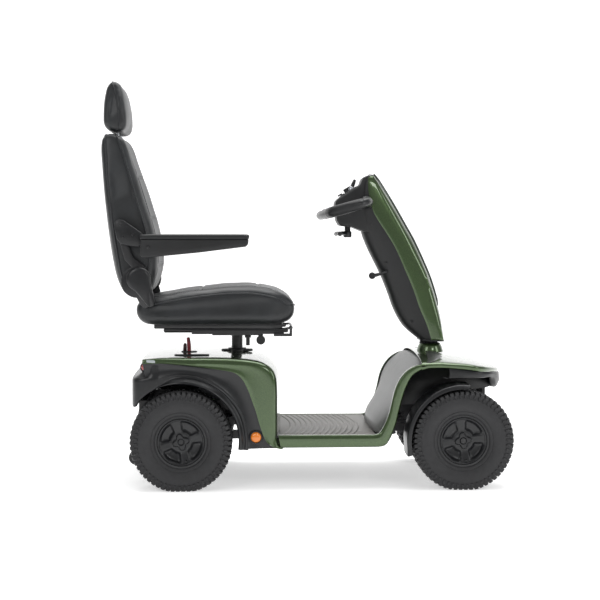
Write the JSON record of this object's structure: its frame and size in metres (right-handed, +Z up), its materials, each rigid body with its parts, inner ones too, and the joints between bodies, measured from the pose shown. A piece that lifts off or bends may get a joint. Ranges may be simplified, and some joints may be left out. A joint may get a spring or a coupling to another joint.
{
  "type": "mobility scooter",
  "caption": "Four-wheeled mobility scooter with tilting tiller, delta handlebar, sprung axles and a swivelling, sliding, reclining captain seat.",
  "frame": {"origin": "middle of the footprint, on the ground", "axes": "+X is the way it drives, +Y the rider's left, +Z up"},
  "size_m": [1.364, 0.64, 1.376],
  "materials": {
    "green_paint": "metallic gloss paint on moulded panels",
    "black_plastic": "textured",
    "grey_plastic": "coarse textured",
    "mat_rubber": "ribbed",
    "frame_paint": "semi-gloss powder coat",
    "steel": "bright",
    "spring_steel": "zinc plated",
    "tyre_rubber": "grey-black",
    "amber_lens": "clear amber",
    "red_lens": "clear red",
    "red_plastic": "satin",
    "leatherette": "fine-grained, stitched"
  },
  "bodies": {
    "chassis": {"main_frame": "frame_paint", "floor_shell": "black_plastic", "footboard_mat": "mat_rubber", "rear_body_shell": "green_paint", "wheel_arch_liners": "black_plastic", "rear_bumper": "black_plastic", "rear_lamps": "red_lens", "side_indicators": "amber_lens", "front_body_shell": "green_paint", "leg_shield": "grey_plastic", "front_bumper": "black_plastic", "top_trim_plates": "black_plastic", "batteries": "black_plastic"},
    "rear_arm": {"rear_swing_arm": "frame_paint", "transaxle": "frame_paint", "rear_springs": "spring_steel"},
    "wheel_rear_left": {"tyre_rl": "tyre_rubber", "wheel_rl": "black_plastic"},
    "wheel_rear_right": {"tyre_rr": "tyre_rubber", "wheel_rr": "black_plastic"},
    "wheel_front_left": {"tyre_fl": "tyre_rubber", "wheel_fl": "black_plastic"},
    "wheel_front_right": {"tyre_fr": "tyre_rubber", "wheel_fr": "black_plastic"},
    "anti_tip_left": {"anti_tip_wheel_l": "tyre_rubber"},
    "anti_tip_right": {"anti_tip_wheel_r": "tyre_rubber"},
    "front_arm": {"front_swing_frame": "frame_paint", "front_springs": "spring_steel"},
    "steer_left": {"knuckle_l": "frame_paint", "mudguard_l": "black_plastic"},
    "steer_right": {"knuckle_r": "frame_paint", "mudguard_r": "black_plastic"},
    "track_rod": {"tie_rod": "steel"},
    "steering": {"steering_shaft": "steel", "tiller_base_cover": "green_paint"},
    "tiller": {"tiller_stem": "steel", "tiller_rear_cover": "black_plastic", "tiller_front_cover": "green_paint", "tiller_front_strip": "black_plastic", "handlebar": "frame_paint"},
    "throttle": {"throttle_paddle": "black_plastic"},
    "key": {"ignition_key": "steel"},
    "speed_control": {"speed_knob": "black_plastic"},
    "horn": {"horn_button": "red_plastic"},
    "tiller_release": {"tilt_lever": "black_plastic"},
    "post": {"seat_post": "steel"},
    "swivel": {"swivel_plate": "frame_paint"},
    "swivel_release": {"swivel_lever": "black_plastic"},
    "post_lock": {"post_lock_knob": "black_plastic"},
    "seat": {"seat_pan": "frame_paint", "seat_cushion": "leatherette"},
    "slide_release": {"slide_lever": "frame_paint"},
    "recline_release": {"recline_lever": "black_plastic"},
    "back": {"back_frame": "frame_paint", "back_cushion": "leatherette"},
    "headrest": {"headrest_cushion": "leatherette", "headrest_rods": "steel"},
    "armrest_left": {"armrest_l": "leatherette"},
    "armrest_right": {"armrest_r": "leatherette"},
    "freewheel": {"freewheel_lever": "red_plastic"}
  },
  "joints": [
    {"name": "rear_suspension", "type": "hinge", "parent": "chassis", "child": "rear_arm", "pos_m": [-0.21, 0, 0.175], "axis": [0, 1, 0], "range_deg": [-1, 3], "stiffness_Nm_per_rad": 12000, "deforming": ["rear_springs"]},
    {"name": "front_suspension", "type": "hinge", "parent": "chassis", "child": "front_arm", "pos_m": [0.285, 0, 0.185], "axis": [0, -1, 0], "range_deg": [-1, 2.5], "stiffness_Nm_per_rad": 12000, "deforming": ["front_springs"]},
    {"name": "rear_left_wheel_spin", "type": "hinge", "parent": "rear_arm", "child": "wheel_rear_left", "pos_m": [-0.41, 0.2575, 0.167], "axis": [0, 1, 0], "continuous": true},
    {"name": "front_left_wheel_spin", "type": "hinge", "parent": "steer_left", "child": "wheel_front_left", "pos_m": [0.515, 0.2575, 0.167], "axis": [0, 1, 0], "continuous": true},
    {"name": "anti_tip_left_spin", "type": "hinge", "parent": "chassis", "child": "anti_tip_left", "pos_m": [-0.57, 0.121, 0.09], "axis": [0, 1, 0], "continuous": true},
    {"name": "rear_right_wheel_spin", "type": "hinge", "parent": "rear_arm", "child": "wheel_rear_right", "pos_m": [-0.41, -0.2575, 0.167], "axis": [0, 1, 0], "continuous": true},
    {"name": "front_right_wheel_spin", "type": "hinge", "parent": "steer_right", "child": "wheel_front_right", "pos_m": [0.515, -0.2575, 0.167], "axis": [0, 1, 0], "continuous": true},
    {"name": "anti_tip_right_spin", "type": "hinge", "parent": "chassis", "child": "anti_tip_right", "pos_m": [-0.57, -0.121, 0.09], "axis": [0, 1, 0], "continuous": true},
    {"name": "steer", "type": "hinge", "parent": "chassis", "child": "steering", "pos_m": [0.446, 0, 0.436], "axis": [0, 0, 1], "range_deg": [-30, 30]},
    {"name": "steer_left_knuckle", "type": "hinge", "parent": "front_arm", "child": "steer_left", "pos_m": [0.515, 0.17, 0.167], "axis": [0, 0, 1], "range_deg": [-31, 31]},
    {"name": "steer_right_knuckle", "type": "hinge", "parent": "front_arm", "child": "steer_right", "pos_m": [0.515, -0.17, 0.167], "axis": [0, 0, 1], "range_deg": [-31, 31]},
    {"name": "track_rod_shift", "type": "slide", "parent": "front_arm", "child": "track_rod", "axis": [0, 1, 0], "range_m": [-0.033, 0.033]},
    {"name": "tiller_tilt", "type": "hinge", "parent": "steering", "child": "tiller", "pos_m": [0.446, 0, 0.476], "axis": [0, 1, 0], "range_deg": [-10, 15]},
    {"name": "throttle_turn", "type": "hinge", "parent": "tiller", "child": "throttle", "pos_m": [0.156, 0, 0.852], "axis": [0, 0, 1], "range_deg": [-12, 12], "stiffness_Nm_per_rad": 0.6},
    {"name": "key_turn", "type": "hinge", "parent": "tiller", "child": "key", "pos_m": [0.17856, -0.034, 1.00538], "axis": [-0.5158, 0, 0.8567], "range_deg": [0, 90]},
    {"name": "speed_knob_turn", "type": "hinge", "parent": "tiller", "child": "speed_control", "pos_m": [0.158, 0, 0.993], "axis": [-0.5158, 0, 0.8567], "range_deg": [0, 270]},
    {"name": "horn_press", "type": "slide", "parent": "tiller", "child": "horn", "axis": [0.5158, 0, -0.8567], "range_m": [0, 0.0015], "stiffness_N_per_m": 400},
    {"name": "tilt_lever_lift", "type": "hinge", "parent": "tiller", "child": "tiller_release", "pos_m": [0.256, -0.062, 0.701], "axis": [0, 1, 0], "range_deg": [0, 20], "stiffness_Nm_per_rad": 1.5},
    {"name": "seat_height", "type": "slide", "parent": "chassis", "child": "post", "axis": [0, 0, 1], "range_m": [0, 0.06]},
    {"name": "seat_swivel", "type": "hinge", "parent": "post", "child": "swivel", "pos_m": [-0.229, 0, 0.5], "axis": [0, 0, 1], "range_deg": [-90, 90]},
    {"name": "swivel_lever_lift", "type": "hinge", "parent": "swivel", "child": "swivel_release", "pos_m": [-0.192, -0.105, 0.499], "axis": [1, 0, 0], "range_deg": [-12, 0], "stiffness_Nm_per_rad": 0.6},
    {"name": "post_lock_pull", "type": "slide", "parent": "swivel", "child": "post_lock", "axis": [0, -1, 0], "range_m": [0, 0.008], "stiffness_N_per_m": 400},
    {"name": "seat_slide", "type": "slide", "parent": "swivel", "child": "seat", "axis": [1, 0, 0], "range_m": [-0.075, 0.075]},
    {"name": "slide_lever_lift", "type": "hinge", "parent": "seat", "child": "slide_release", "pos_m": [-0.048, -0.186, 0.534], "axis": [0, 1, 0], "range_deg": [0, 8], "stiffness_Nm_per_rad": 1},
    {"name": "recline_lever_lift", "type": "hinge", "parent": "seat", "child": "recline_release", "pos_m": [-0.556, -0.243, 0.687], "axis": [0, -1, 0], "range_deg": [0, 20], "stiffness_Nm_per_rad": 2},
    {"name": "back_recline", "type": "hinge", "parent": "seat", "child": "back", "pos_m": [-0.556, 0, 0.687], "axis": [0, 1, 0], "range_deg": [-20, 50]},
    {"name": "headrest_slide", "type": "slide", "parent": "back", "child": "headrest", "axis": [-0.1357, 0, 0.9907], "range_m": [0, 0.06]},
    {"name": "armrest_left_lift", "type": "hinge", "parent": "back", "child": "armrest_left", "pos_m": [-0.522, 0.269, 0.815], "axis": [0, 1, 0], "range_deg": [-95, 0]},
    {"name": "armrest_right_lift", "type": "hinge", "parent": "back", "child": "armrest_right", "pos_m": [-0.522, -0.269, 0.815], "axis": [0, 1, 0], "range_deg": [-95, 0]},
    {"name": "freewheel_lever_turn", "type": "hinge", "parent": "chassis", "child": "freewheel", "pos_m": [-0.392, -0.07, 0.424], "axis": [0, 1, 0], "range_deg": [0, 26]}
  ],
  "couplings": [
    {"joint": "steer_left_knuckle", "follows": "steer", "ratio": 1},
    {"joint": "steer_right_knuckle", "follows": "steer", "ratio": 1},
    {"joint": "track_rod_shift", "follows": "steer", "m_per_rad": -0.06}
  ]
}
